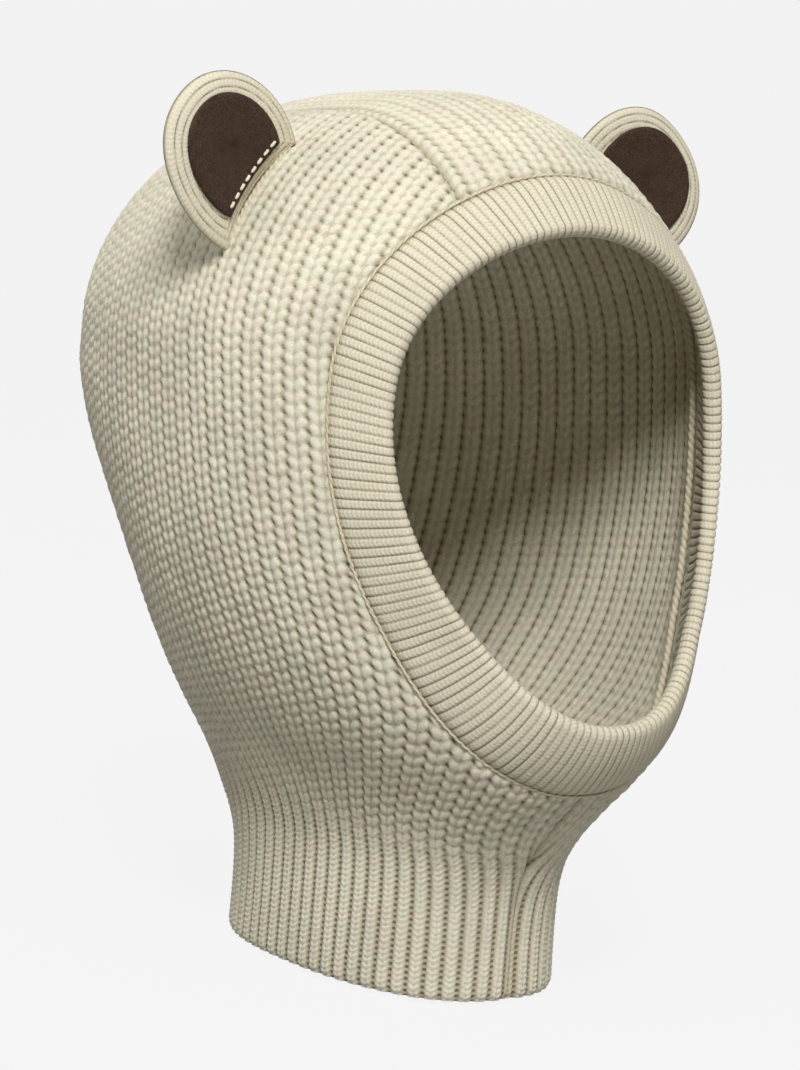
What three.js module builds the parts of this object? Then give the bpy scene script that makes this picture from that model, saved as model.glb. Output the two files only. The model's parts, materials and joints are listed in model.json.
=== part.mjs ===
// Knitted balaclava for a child, with two bear ears: separate panels, seams and ear pieces.
// Millimetres, +Z up. The face looks along -Y and the wearer's left is +X.
// The origin is under the middle of the whole piece, on the plane of the neck hem it stands on.
import * as THREE from 'three';
import { mergeVertices } from 'three/addons/utils/BufferGeometryUtils.js';

// ---- driving dimensions -------------------------------------------------------------------
const crownHeight = 253;       // top of the hood above the hem
const neckHeight = 53;          // level where the neck rib turns into the hood
const hoodPower = 1.97;         // roundness of the hood's level sections, 2 is an ellipse
const hemPower = 2.5;            // the neck is squarer, with rounded corners
const ringCentreY = -16.15;          // front and back halves of a section meet here
const panelThickness = 3.4;     // half-cardigan knit
const seamGap = 0.6;            // clearance between two neighbouring panels
const touchGap = 0.35;          // clearance between a seam, thread or patch and its panel

// Outer profiles of the hood: widest value, its level, roundness above, fullness below it,
// value at the top of the neck and value at the hem.
const side = { wide: 83.5, level: 177, above: 1.85, below: 2.6, ease: 0.92, neck: 37.5, hem: 36 };
const back = { wide: 131, level: 166, above: 2.4, below: 1.5, ease: 2.5, neck: 73, hem: 51 };
const front = { wide: 99.5, level: 97, above: 2.3, below: 3.1, ease: 1.1, neck: 72.5, hem: 62 };
const neckFlare = 4;            // how late the neck opens towards the hood

// The face opening and the seam of its band are cuts across the hood, y = at + lean*h + bow*h*h,
// where h is the height above cutLevel.
const cutLevel = 144;
const openingCut = { at: -83.45, lean: 0.276, bow: -0.0042 };
const bandCut = { at: -67.65, lean: 0.194, bow: -0.0029 };
const band = { centreZ: 150, wall: 2.0, slot: 0.9, tuck: 0.12 };

// Crown panel: half width at the forehead and at the nape, about the centre of the head.
const crown = { frontHalf: 35, napeHalf: 18, centreY: -21.15, centreZ: 150 };

// Ears: the middle of the sewn base on the wearer's right, the direction of the base line and the
// direction the ear stands in, then the ear's own sizes. Everything else follows from these.
const ear = {
  root: [-65.5, -16.15, 217], along: [-0.65, -0.17, -0.74], up: [-0.84, -0.07, 0.49],
  halfWidth: 24, baseHalf: 20, height: 36.5, standOff: 3,
  rim: 1.6, swell: 2, seamGap: 0.4, cup: 3.2,
};
const felt = { halfWidth: 16.8, baseHalf: 14, height: 26.5, baseAbove: 4.6, thickness: 1.2 };
const stitch = { radius: 0.45, above: 1.9, half: 12.6 };

// ---- finishes -----------------------------------------------------------------------------
const wool = { color: 0xded7c4, roughness: 0.95, metalness: 0 };
const rib = { color: 0xd9d0bb, roughness: 0.95, metalness: 0 };
const thread = { color: 0xe6dcc8, roughness: 0.8, metalness: 0 };
const brownFelt = { color: 0x4a362c, roughness: 1, metalness: 0 };

// ---- the hood's outer surface -------------------------------------------------------------
const clamp01 = (t) => Math.min(1, Math.max(0, t));
const signedPower = (t, e) => Math.sign(t) * Math.abs(t) ** e;
const ringPower = (z) => hoodPower + (hemPower - hoodPower) * (1 - clamp01(z / neckHeight / 2));

function reach(profile, z) {
  if (z >= profile.level) {
    const h = clamp01((z - profile.level) / (crownHeight - profile.level));
    return profile.wide * (1 - h ** profile.above) ** (1 / profile.above);
  }
  if (z >= neckHeight) {
    const k = clamp01((profile.level - z) / (profile.level - neckHeight));
    return profile.neck + (profile.wide - profile.neck) * (1 - k ** profile.below) ** profile.ease;
  }
  return profile.hem + (profile.neck - profile.hem) * clamp01(z / neckHeight) ** neckFlare;
}

// Point of the level section at z: angle 0 is the centre back, PI the centre front, and the
// wearer's right lies between them.
function ringPoint(z, angle) {
  const s = Math.sin(angle);
  const c = Math.cos(angle);
  const e = 2 / ringPower(z);
  const x = -reach(side, z) * signedPower(s, e);
  const y = (c > 0 ? reach(back, z) : reach(front, z)) * signedPower(c, e);
  return new THREE.Vector3(x, y + ringCentreY, z);
}

// Below zero inside the hood, above zero outside it.
function outside(p) {
  if (p.z >= crownHeight) return 1 + p.z - crownHeight;
  const y = p.y - ringCentreY;
  const half = y > 0 ? reach(back, p.z) : reach(front, p.z);
  const n = ringPower(p.z);
  return (Math.abs(p.x) / reach(side, p.z)) ** n + (Math.abs(y) / half) ** n - 1;
}

function outwardNormal(p) {
  const step = 0.4;
  const z = Math.min(p.z, crownHeight - 1.5);
  const slope = (dx, dy, dz) => outside(new THREE.Vector3(p.x + dx, p.y + dy, z + dz))
    - outside(new THREE.Vector3(p.x - dx, p.y - dy, z - dz));
  return new THREE.Vector3(slope(step, 0, 0), slope(0, step, 0), slope(0, 0, step)).normalize();
}

const inset = (p, depth) => p.clone().addScaledVector(outwardNormal(p), -depth);

// Root of a function that rises from below zero at low to above zero at high.
function solve(f, low, high) {
  for (let i = 0; i < 40; i += 1) {
    const middle = (low + high) / 2;
    if (f(middle) > 0) high = middle; else low = middle;
  }
  return (low + high) / 2;
}

// Surface point of the section plane at x, in the direction phi of the Y-Z plane from the head's
// centre.
function crownPoint(x, phi) {
  const at = (r) => new THREE.Vector3(
    x, crown.centreY + r * Math.cos(phi), crown.centreZ + r * Math.sin(phi));
  return at(solve((r) => outside(at(r)), 5, 260));
}

const cutY = (cut, z) => cut.at + cut.lean * (z - cutLevel) + cut.bow * (z - cutLevel) ** 2;

// Point of the band zone: turn 0 is the top of the opening, across 0 the seam, 1 the edge.
function bandPoint(turn, across, forward = 0) {
  const at = (r) => {
    const z = band.centreZ + r * Math.cos(turn);
    const y = cutY(bandCut, z) * (1 - across) + cutY(openingCut, z) * across - forward;
    return new THREE.Vector3(-r * Math.sin(turn), y, z);
  };
  return at(solve((r) => outside(at(r)), 5, 130));
}

// ---- crown seam ---------------------------------------------------------------------------
const napeAngle = Math.atan2(
  neckHeight - crown.centreZ, back.neck + ringCentreY - crown.centreY);
const foreheadAngle = THREE.MathUtils.degToRad(114);
function crownHalf(phi) {
  const t = clamp01((foreheadAngle - phi) / (foreheadAngle - napeAngle));
  return crown.frontHalf + (crown.napeHalf - crown.frontHalf) * t * t * (3 - 2 * t);
}
const angleOf = (p) => Math.atan2(p.z - crown.centreZ, p.y - crown.centreY);
const overCrown = (p, gap) => crownHalf(angleOf(p)) + gap - Math.abs(p.x);

// ---- solids -------------------------------------------------------------------------------
// Closed mesh from points and triangles, with equal points merged and empty triangles dropped.
function closedMesh(points, faces) {
  const geometry = new THREE.BufferGeometry();
  const numbers = points.flatMap((p) => p.toArray());
  geometry.setAttribute('position', new THREE.Float32BufferAttribute(numbers, 3));
  geometry.setIndex(faces.flat());
  const merged = mergeVertices(geometry, 1e-3);
  const index = Array.from(merged.index.array);
  const kept = [];
  for (let i = 0; i < index.length; i += 3) {
    const [a, b, c] = index.slice(i, i + 3);
    if (a !== b && b !== c && c !== a) kept.push(a, b, c);
  }
  merged.setIndex(kept);
  return facingOut(merged);
}

// Turns the faces round where they enclose a negative volume.
function facingOut(geometry) {
  const at = geometry.getAttribute('position');
  const index = Array.from(geometry.index.array);
  const corner = (i) => new THREE.Vector3().fromBufferAttribute(at, index[i]);
  let volume = 0;
  for (let i = 0; i < index.length; i += 3) {
    volume += corner(i).dot(corner(i + 1).cross(corner(i + 2)));
  }
  if (volume < 0) index.reverse();
  geometry.setIndex(index);
  return geometry;
}

// A sheet of cloth: top(u, v) and bottom(u, v) are its two faces, u and v from 0 to 1.
function sheetSolid(top, bottom, nu, nv) {
  const points = [];
  const faces = [];
  const layer = (nu + 1) * (nv + 1);
  const id = (i, j, face) => face * layer + i * (nv + 1) + j;
  for (const face of [top, bottom]) {
    for (let i = 0; i <= nu; i += 1) {
      for (let j = 0; j <= nv; j += 1) points.push(face(i / nu, j / nv));
    }
  }
  const quad = (a, b, c, d) => faces.push([a, b, c], [a, c, d]);
  for (let i = 0; i < nu; i += 1) {
    for (let j = 0; j < nv; j += 1) {
      quad(id(i, j, 0), id(i + 1, j, 0), id(i + 1, j + 1, 0), id(i, j + 1, 0));
      quad(id(i, j, 1), id(i, j + 1, 1), id(i + 1, j + 1, 1), id(i + 1, j, 1));
    }
  }
  for (let i = 0; i < nu; i += 1) {
    quad(id(i, 0, 0), id(i, 0, 1), id(i + 1, 0, 1), id(i + 1, 0, 0));
    quad(id(i, nv, 0), id(i + 1, nv, 0), id(i + 1, nv, 1), id(i, nv, 1));
  }
  for (let j = 0; j < nv; j += 1) {
    quad(id(0, j, 0), id(0, j + 1, 0), id(0, j + 1, 1), id(0, j, 1));
    quad(id(nu, j, 0), id(nu, j, 1), id(nu, j + 1, 1), id(nu, j + 1, 0));
  }
  return closedMesh(points, faces);
}

// A closed hoop of a many-sided section: section(turn) gives the section's points in order.
function hoopSolid(section, turns) {
  const points = [];
  const faces = [];
  const count = section(0).length;
  for (let i = 0; i < turns; i += 1) points.push(...section((i / turns) * 2 * Math.PI));
  const id = (i, j) => (i % turns) * count + (j % count);
  for (let i = 0; i < turns; i += 1) {
    for (let j = 0; j < count; j += 1) {
      faces.push([id(i, j), id(i + 1, j), id(i + 1, j + 1)]);
      faces.push([id(i, j), id(i + 1, j + 1), id(i, j + 1)]);
    }
  }
  return closedMesh(points, faces);
}

// A round cord along a list of points.
function cordSolid(points, radius, steps, sides, closed = false) {
  const path = new THREE.CatmullRomCurve3(points, closed, 'centripetal');
  const shape = new THREE.Shape();
  for (let i = 0; i < sides; i += 1) {
    const a = (i / sides) * 2 * Math.PI;
    if (i) shape.lineTo(radius * Math.cos(a), radius * Math.sin(a));
    else shape.moveTo(radius * Math.cos(a), radius * Math.sin(a));
  }
  shape.closePath();
  return new THREE.ExtrudeGeometry(shape, { steps, extrudePath: path, bevelEnabled: false });
}

const part = new THREE.Group();
part.name = 'balaclava';

function addPiece(name, geometry, finish, parent = part) {
  geometry.deleteAttribute('uv');
  geometry.deleteAttribute('normal');
  geometry.computeVertexNormals();
  const mesh = new THREE.Mesh(geometry, new THREE.MeshStandardMaterial(finish));
  mesh.name = name;
  parent.add(mesh);
  return mesh;
}

// ---- side panels with their half of the neck rib ------------------------------------------
const centreAngle = (z) => Math.asin((seamGap / 2 / reach(side, z)) ** (ringPower(z) / 2));
const pastSeam = (z) => (angle) => -overCrown(ringPoint(z, angle), seamGap / 2);

// Angle of a level section where it is widest beyond the crown seam.
function widestAngle(z) {
  const steps = 90;
  let best = 0;
  for (let i = 1; i < steps; i += 1) {
    const angle = (i / steps) * Math.PI;
    if (pastSeam(z)(angle) > pastSeam(z)(best)) best = angle;
  }
  return best;
}

function backLimit(z) {
  if (z < neckHeight) return centreAngle(z);
  return solve(pastSeam(z), 0, widestAngle(z));
}

function frontLimit(z) {
  const cut = cutY(bandCut, z) + seamGap / 2;
  const beforeCut = (angle) => cut - ringPoint(z, angle).y;
  const centre = Math.PI - centreAngle(z);
  const reachesCut = beforeCut(centre) > 0;
  if (z < crown.centreZ && (z < neckHeight || !reachesCut)) return centre;
  const onCut = reachesCut ? solve(beforeCut, 0, centre) : centre;
  if (z < crown.centreZ || pastSeam(z)(onCut) > 0) return onCut;
  return solve((angle) => -pastSeam(z)(angle), widestAngle(z), onCut);
}

const panelTop = solve((z) => -pastSeam(z)(widestAngle(z)), 200, crownHeight - 2) - 0.1;
const neckRows = 4;
const hoodRows = 24;
const ledge = 0.3;              // the step where the crown panel ends at the nape

function panelLevel(row) {
  if (row < neckRows) return ((neckHeight - ledge) * row) / (neckRows - 1);
  const t = (row - neckRows) / hoodRows;
  return neckHeight + ledge + (panelTop - neckHeight - ledge) * ((1 - Math.cos(Math.PI * t)) / 2);
}

function sidePanel(mirror) {
  const rows = neckRows + hoodRows;
  const outer = (u, v) => {
    const z = panelLevel(Math.round(u * rows));
    const angle = backLimit(z) * (1 - v) + frontLimit(z) * v;
    return ringPoint(z, angle);
  };
  const inner = (u, v) => {
    const p = inset(outer(u, v), panelThickness);
    if (u === 0) p.z = 0;
    return p;
  };
  const placed = (f) => (u, v) => f(u, v).multiply(new THREE.Vector3(mirror, 1, 1));
  return sheetSolid(placed(outer), placed(inner), rows, 20);
}

addPiece('side_panel_right', sidePanel(1), wool);
addPiece('side_panel_left', sidePanel(-1), wool);

// ---- crown panel --------------------------------------------------------------------------
const napeGap = 2.2;            // the panel's lower end stays clear of the slanting ledge

function crownPanel() {
  const place = (q, phi) => crownPoint(q * (crownHalf(phi) - seamGap / 2), phi);
  const start = (q) => solve((phi) => {
    const p = place(q, phi);
    return cutY(bandCut, p.z) + seamGap / 2 - p.y;
  }, Math.PI / 3, Math.PI * 0.85);
  const floor = neckHeight + ledge + napeGap;
  const end = (q) => solve((phi) => place(q, phi).z - floor, -Math.PI * 0.4, 0);
  const outer = (u, v) => {
    const q = 2 * v - 1;
    return place(q, start(q) * (1 - u) + end(q) * u);
  };
  return sheetSolid(outer, (u, v) => inset(outer(u, v), panelThickness), 34, 8);
}

addPiece('crown_panel', crownPanel(), wool);

// ---- face band, one rib strip folded double -----------------------------------------------
function faceBand() {
  const depth = 2 * band.wall + band.slot;
  const section = [
    [0, 0], [0.33, 0], [0.66, 0], [0.92, 0], [1, depth * 0.22], [1.02, depth / 2], [1, depth * 0.78],
    [0.92, depth], [0.66, depth], [0.33, depth], [band.tuck, depth], [band.tuck, depth - band.wall],
    [0.4, depth - band.wall], [0.86, depth - band.wall], [0.86, band.wall], [0.4, band.wall],
    [0, band.wall],
  ];
  return hoopSolid((turn) => section.map(
    ([across, down]) => inset(bandPoint(turn, across, seamGap / 2), down)), 52);
}

addPiece('face_band', faceBand(), rib);

// ---- seams, as the raised line of each seam allowance -------------------------------------
const crownSeamRadius = 1.8;
const neckSeamRadius = 1.3;
const linkRadius = 1.0;
const under = (radius) => panelThickness + touchGap + radius;

function crownSeam(mirror) {
  const points = [];
  const steps = 26;
  const first = foreheadAngle - 0.25;
  const last = napeAngle + 0.1;
  for (let i = 0; i <= steps; i += 1) {
    const phi = first + ((last - first) * i) / steps;
    points.push(inset(crownPoint(-mirror * crownHalf(phi), phi), under(crownSeamRadius)));
  }
  return cordSolid(points, crownSeamRadius, 44, 6);
}

addPiece('crown_seam_right', crownSeam(1), thread);
addPiece('crown_seam_left', crownSeam(-1), thread);

function neckSeam(angle, top) {
  const points = [];
  const steps = 8;
  const foot = 2;
  for (let i = 0; i <= steps; i += 1) {
    const z = foot + ((top - foot) * i) / steps;
    points.push(inset(ringPoint(z, angle), under(neckSeamRadius)));
  }
  return cordSolid(points, neckSeamRadius, 14, 6);
}

addPiece('front_neck_seam', neckSeam(Math.PI, neckHeight - 4), thread);
addPiece('back_neck_seam', neckSeam(0, neckHeight - 4), thread);

function bandSeam() {
  const sides = 6;
  const behind = -0.1;
  return hoopSolid((turn) => {
    const at = bandPoint(turn, behind);
    const centre = inset(at, under(linkRadius) + 0.8);
    const out = outwardNormal(at);
    const along = bandPoint(turn, 0.1).sub(at).normalize();
    return Array.from({ length: sides }, (_, j) => {
      const a = (j / sides) * 2 * Math.PI;
      return centre.clone().addScaledVector(out, linkRadius * Math.cos(a))
        .addScaledVector(along, linkRadius * Math.sin(a));
    });
  }, 56);
}

addPiece('band_linking_seam', bandSeam(), thread);

// ---- ears ---------------------------------------------------------------------------------
// Each ear is drawn flat: x along its base, y up the ear, z towards its front face. earGroup
// then stands it on the hood, and the other ear is its mirror image.
function earOutline(halfWidth, baseHalf, height, base) {
  const shape = new THREE.Shape();
  shape.moveTo(-baseHalf, base);
  const low = base + height * 0.28;
  const top = base + height;
  shape.bezierCurveTo(-halfWidth * 1.14, low, -halfWidth * 0.96, top, 0, top);
  shape.bezierCurveTo(halfWidth * 0.96, top, halfWidth * 1.14, low, baseHalf, base);
  for (const t of [0.6, 0.2, -0.2, -0.6]) shape.lineTo(baseHalf * t, base);
  return shape;
}

const cupped = (x) => ear.cup * (x / ear.halfWidth) ** 2;

// A plate with the given outline. low and high give its two faces from the middle, 0, to the
// edge, 1.
function plateSolid(outline, low, high) {
  const edge = outline.getPoints(12);
  const centre = new THREE.Vector2(0, (edge[0].y + edge[edge.length >> 1].y) / 2);
  const rings = 4;
  const points = [];
  const faces = [];
  for (const face of [high, low]) {
    for (let k = 0; k <= rings; k += 1) {
      for (const p of edge) {
        const q = centre.clone().lerp(p, k / rings);
        points.push(new THREE.Vector3(q.x, q.y, face(k / rings) + cupped(q.x)));
      }
    }
  }
  const count = edge.length;
  const id = (face, k, j) => (face * (rings + 1) + k) * count + (j % count);
  const quad = (a, b, c, d) => faces.push([a, b, c], [a, c, d]);
  for (let j = 0; j < count; j += 1) {
    for (let k = 0; k < rings; k += 1) {
      quad(id(0, k, j), id(0, k + 1, j), id(0, k + 1, j + 1), id(0, k, j + 1));
      quad(id(1, k, j), id(1, k, j + 1), id(1, k + 1, j + 1), id(1, k + 1, j));
    }
    quad(id(0, rings, j), id(1, rings, j), id(1, rings, j + 1), id(0, rings, j + 1));
  }
  return closedMesh(points, faces);
}

// Half of the ear, from its flat seam plane to its swollen face.
function earLeaf(front) {
  const outline = earOutline(ear.halfWidth, ear.baseHalf, ear.height - ear.standOff, ear.standOff);
  const towards = front ? 1 : -1;
  const flat = () => (towards * ear.seamGap) / 2;
  const full = (r) => towards * (ear.seamGap / 2 + ear.rim + ear.swell * (1 - r ** 4));
  return plateSolid(outline, front ? flat : full, front ? full : flat);
}

// The felt lies on the swollen front of the ear.
const feltFloor = ear.seamGap / 2 + ear.rim + ear.swell + touchGap;
const feltTop = feltFloor + felt.thickness;

function feltPatch() {
  const outline = earOutline(felt.halfWidth, felt.baseHalf, felt.height, felt.baseAbove);
  return plateSolid(outline, () => feltFloor, () => feltTop);
}

function topstitch() {
  const level = feltTop + touchGap + stitch.radius;
  const points = [-1, -0.5, 0, 0.5, 1].map((t) => {
    const x = stitch.half * t;
    return new THREE.Vector3(x, felt.baseAbove + stitch.above, level + cupped(x));
  });
  return cordSolid(points, stitch.radius, 12, 6);
}

const along = new THREE.Vector3(...ear.along).normalize();
const upGuide = new THREE.Vector3(...ear.up);
const up = upGuide.clone().addScaledVector(along, -along.dot(upGuide)).normalize();
const facing = along.clone().cross(up).negate();
const rootGuide = new THREE.Vector3(...ear.root);
const root = crownPoint(rootGuide.x, angleOf(rootGuide));
const standing = new THREE.Matrix4().makeBasis(along.clone().negate(), up, facing)
  .setPosition(root);

function earPieces(label, mirror) {
  const place = new THREE.Matrix4().makeScale(mirror, 1, 1).multiply(standing);
  const put = (name, geometry, finish) => {
    geometry.deleteAttribute('uv');
    geometry.deleteAttribute('normal');
    const solid = mergeVertices(geometry, 1e-3).applyMatrix4(place);
    addPiece(`${name}_${label}`, facingOut(solid), finish);
  };
  put('ear_back', earLeaf(false), rib);
  put('ear_front', earLeaf(true), rib);
  put('ear_felt', feltPatch(), brownFelt);
  put('ear_topstitch', topstitch(), thread);
}

earPieces('right', 1);
earPieces('left', -1);

// The sewn root of each ear: a low ridge that follows the hood under the ear's base.
function earRoot(mirror) {
  const points = [];
  const steps = 6;
  const radius = 0.9;
  const half = ear.baseHalf - 2;
  for (let i = 0; i <= steps; i += 1) {
    const t = half * ((2 * i) / steps - 1);
    const p = root.clone().addScaledVector(along, t);
    const at = crownPoint(p.x, angleOf(p));
    const out = inset(at, -(touchGap + radius));
    points.push(out.multiply(new THREE.Vector3(mirror, 1, 1)));
  }
  return cordSolid(points, radius, 14, 6);
}

addPiece('ear_root_seam_right', earRoot(1), thread);
addPiece('ear_root_seam_left', earRoot(-1), thread);

export default part;
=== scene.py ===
import json
import math

import bpy
import numpy as np
from mathutils import Matrix, Vector


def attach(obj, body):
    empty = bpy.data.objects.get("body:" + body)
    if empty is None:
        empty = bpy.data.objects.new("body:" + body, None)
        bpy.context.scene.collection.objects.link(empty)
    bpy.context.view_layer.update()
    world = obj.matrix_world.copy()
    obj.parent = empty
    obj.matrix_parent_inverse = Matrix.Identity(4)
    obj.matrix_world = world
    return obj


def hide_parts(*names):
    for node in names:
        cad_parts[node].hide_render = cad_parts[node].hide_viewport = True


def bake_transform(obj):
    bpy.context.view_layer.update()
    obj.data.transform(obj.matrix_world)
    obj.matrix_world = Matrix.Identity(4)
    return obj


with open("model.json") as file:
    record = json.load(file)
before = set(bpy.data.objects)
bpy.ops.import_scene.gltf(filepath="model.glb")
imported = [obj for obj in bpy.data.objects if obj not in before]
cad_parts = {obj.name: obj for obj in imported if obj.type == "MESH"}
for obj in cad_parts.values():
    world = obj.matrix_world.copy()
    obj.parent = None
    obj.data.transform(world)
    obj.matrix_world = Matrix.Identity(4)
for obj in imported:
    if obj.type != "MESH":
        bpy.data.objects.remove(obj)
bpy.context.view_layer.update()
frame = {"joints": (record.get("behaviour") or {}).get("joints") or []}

# Child's knitted balaclava with bear ears. Shapes are worked out in millimetres and turned to
# metres when a mesh is made. -Y is the face side and +X the wearer's left.
mm = 0.001
rng = np.random.default_rng(20)

# The hood's outer surface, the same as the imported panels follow.
hood = {
    "crownHeight": 253.0, "neckHeight": 53.0, "hoodPower": 1.97, "hemPower": 2.5,
    "centreY": -16.15, "crownY": -21.15, "crownZ": 150.0,
    "side": {"wide": 83.5, "level": 177, "above": 1.85, "below": 2.6, "ease": 0.92,
             "neck": 37.5, "hem": 36},
    "back": {"wide": 131, "level": 166, "above": 2.4, "below": 1.5, "ease": 2.5,
             "neck": 73, "hem": 51},
    "front": {"wide": 99.5, "level": 97, "above": 2.3, "below": 3.1, "ease": 1.1,
              "neck": 72.5, "hem": 62},
    "neckFlare": 4, "thickness": 3.4,
    "cutLevel": 144,
    "openingCut": (-83.45, 0.276, -0.0042),
    "bandCut": (-67.65, 0.194, -0.0029),
    "crownHalf": 35.0, "napeHalf": 18.0, "foreheadAngle": math.radians(114), "point": 0.045,
}


def clamp01(t):
    return np.clip(t, 0.0, 1.0)


def smooth(low, high, t):
    k = clamp01((t - low) / (high - low))
    return k * k * (3 - 2 * k)


def sharpReach(profile, z):
    p = hood[profile]
    h = clamp01((z - p["level"]) / (hood["crownHeight"] - p["level"]))
    above = p["wide"] * np.maximum(1 - h ** p["above"], 1e-9) ** (1 / p["above"])
    k = clamp01((p["level"] - z) / (p["level"] - hood["neckHeight"]))
    fall = np.maximum(1 - k ** p["below"], 0) ** p["ease"]
    below = p["neck"] + (p["wide"] - p["neck"]) * fall
    flare = clamp01(z / hood["neckHeight"]) ** hood["neckFlare"]
    neck = p["hem"] + (p["neck"] - p["hem"]) * flare
    return np.where(z >= p["level"], above, np.where(z >= hood["neckHeight"], below, neck))


def easedReach(profile, z):
    # the same profile with the crease at the top of the neck eased, as knit does
    near = smooth(26, 44, z) * (1 - smooth(66, 100, z))
    eased = sum(sharpReach(profile, z + step) for step in (-13, -9, -5, -1, 3, 7, 11, 15)) / 8
    return sharpReach(profile, z) * (1 - near) + eased * near


# each profile is worked out once, every 0.02 mm, and read from that table
levels = np.arange(-20, hood["crownHeight"] + 0.02, 0.02)
reaches = {profile: easedReach(profile, levels) for profile in ("side", "back", "front")}


def reach(profile, z):
    return np.interp(z, levels, reaches[profile])


def ringPower(z):
    share = 1 - clamp01(z / hood["neckHeight"] / 2)
    return hood["hoodPower"] + (hood["hemPower"] - hood["hoodPower"]) * share


def ringPoint(z, angle):
    # angle 0 is the centre back, pi the centre front, with the wearer's right between them
    s, c = np.sin(angle), np.cos(angle)
    e = 2 / ringPower(z)
    x = -reach("side", z) * np.sign(s) * np.abs(s) ** e
    y = np.where(c > 0, reach("back", z), reach("front", z)) * np.sign(c) * np.abs(c) ** e
    return np.stack(np.broadcast_arrays(x, y + hood["centreY"], z), -1)


def outside(p):
    y = p[..., 1] - hood["centreY"]
    z = p[..., 2]
    half = np.where(y > 0, reach("back", z), reach("front", z))
    n = ringPower(z)
    f = (np.abs(p[..., 0]) / reach("side", z)) ** n + (np.abs(y) / half) ** n - 1
    return np.where(z >= hood["crownHeight"], 1 + z - hood["crownHeight"], f)


def outward(p):
    # outward unit normals of the hood surface, from the slope of outside()
    step = 0.4
    q = p.copy()
    q[..., 2] = np.minimum(q[..., 2], hood["crownHeight"] - 1.5)
    slope = [outside(q + d) - outside(q - d) for d in step * np.eye(3)]
    n = np.stack(slope, -1)
    return n / np.linalg.norm(n, axis=-1, keepdims=True)


def solve(f, low, high, rounds=34):
    low = np.array(low, float)
    high = np.array(high, float)
    for _ in range(rounds):
        middle = (low + high) / 2
        up = f(middle) > 0
        high = np.where(up, middle, high)
        low = np.where(up, low, middle)
    return (low + high) / 2


def crownPoint(x, phi):
    def at(r):
        y = hood["crownY"] + r * np.cos(phi)
        return np.stack([x + 0 * r, y, hood["crownZ"] + r * np.sin(phi)], -1)
    shape = np.broadcast(x, phi).shape
    return at(solve(lambda r: outside(at(r)), np.full(shape, 5.0), np.full(shape, 260.0)))


def cutY(cut, z):
    at, lean, bow = hood[cut]
    h = z - hood["cutLevel"]
    return at + lean * h + bow * h * h


def bandPoint(turn, across):
    def at(r):
        z = hood["crownZ"] + r * np.cos(turn)
        y = cutY("bandCut", z) * (1 - across) + cutY("openingCut", z) * across
        return np.stack([-r * np.sin(turn), y, z], -1)
    shape = np.broadcast(turn, across).shape
    return at(solve(lambda r: outside(at(r)), np.full(shape, 5.0), np.full(shape, 130.0)))


backNeck = hood["back"]["neck"] + hood["centreY"] - hood["crownY"]
napeAngle = math.atan2(hood["neckHeight"] - hood["crownZ"], backNeck)


def crownHalf(phi):
    # half width of the crown panel, which runs out to a shallow point at the nape
    t = clamp01((hood["foreheadAngle"] - phi) / (hood["foreheadAngle"] - napeAngle))
    half = hood["crownHalf"] + (hood["napeHalf"] - hood["crownHalf"]) * t * t * (3 - 2 * t)
    return half * clamp01((phi - napeAngle + hood["point"]) / hood["point"])


def pastSeam(z, angle):
    p = ringPoint(z, angle)
    phi = np.arctan2(z - hood["crownZ"], p[..., 1] - hood["crownY"])
    return np.abs(p[..., 0]) - crownHalf(phi)


def unevenness(p):
    # the slight dents and swells that a worn-in knit has, 0.6 mm at most
    x, y, z = p[..., 0], p[..., 1], p[..., 2]
    return (0.3 * np.sin(x / 17 + 1.3) * np.sin(z / 23 + y / 31)
            + 0.3 * np.sin(y / 14 + z / 37 + 0.4) * np.sin(x / 29 - z / 19))


# Meshes

def makeObject(name, points, faces, paintedShadeAndGrain, uv=None, tint=None):
    mesh = bpy.data.meshes.new(name)
    quads = np.asarray(faces, np.int32)
    mesh.vertices.add(len(points))
    mesh.vertices.foreach_set("co", (np.asarray(points) * mm).astype(np.float32).ravel())
    mesh.loops.add(quads.size)
    mesh.loops.foreach_set("vertex_index", quads.ravel())
    mesh.polygons.add(len(quads))
    width = quads.shape[1]
    mesh.polygons.foreach_set("loop_start", np.arange(0, quads.size, width, dtype=np.int32))
    mesh.polygons.foreach_set("use_smooth", np.ones(len(quads), bool))
    mesh.update(calc_edges=True)
    for label, values in (("paintedShadeAndGrain", paintedShadeAndGrain), ("tint", tint)):
        if values is not None:
            layer = mesh.attributes.new(label, "FLOAT", "POINT")
            layer.data.foreach_set("value", np.asarray(values, np.float32).ravel())
    if uv is not None:
        layer = mesh.uv_layers.new(name="OFBake")
        layer.data.foreach_set("uv", np.asarray(uv, np.float32)[quads.ravel()].ravel())
    piece = bpy.data.objects.new(name, mesh)
    bpy.context.scene.collection.objects.link(piece)
    return piece


def gridFaces(rows, columns, closed=False):
    # quads of a rows by columns grid of points; closed joins the last column to the first
    last = columns if closed else columns - 1
    i, j = np.meshgrid(np.arange(rows - 1), np.arange(last), indexing="ij")
    k = (j + 1) % columns
    quads = np.stack([i * columns + j, (i + 1) * columns + j, (i + 1) * columns + k,
                      i * columns + k], -1)
    return quads.reshape(-1, 4)


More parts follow.
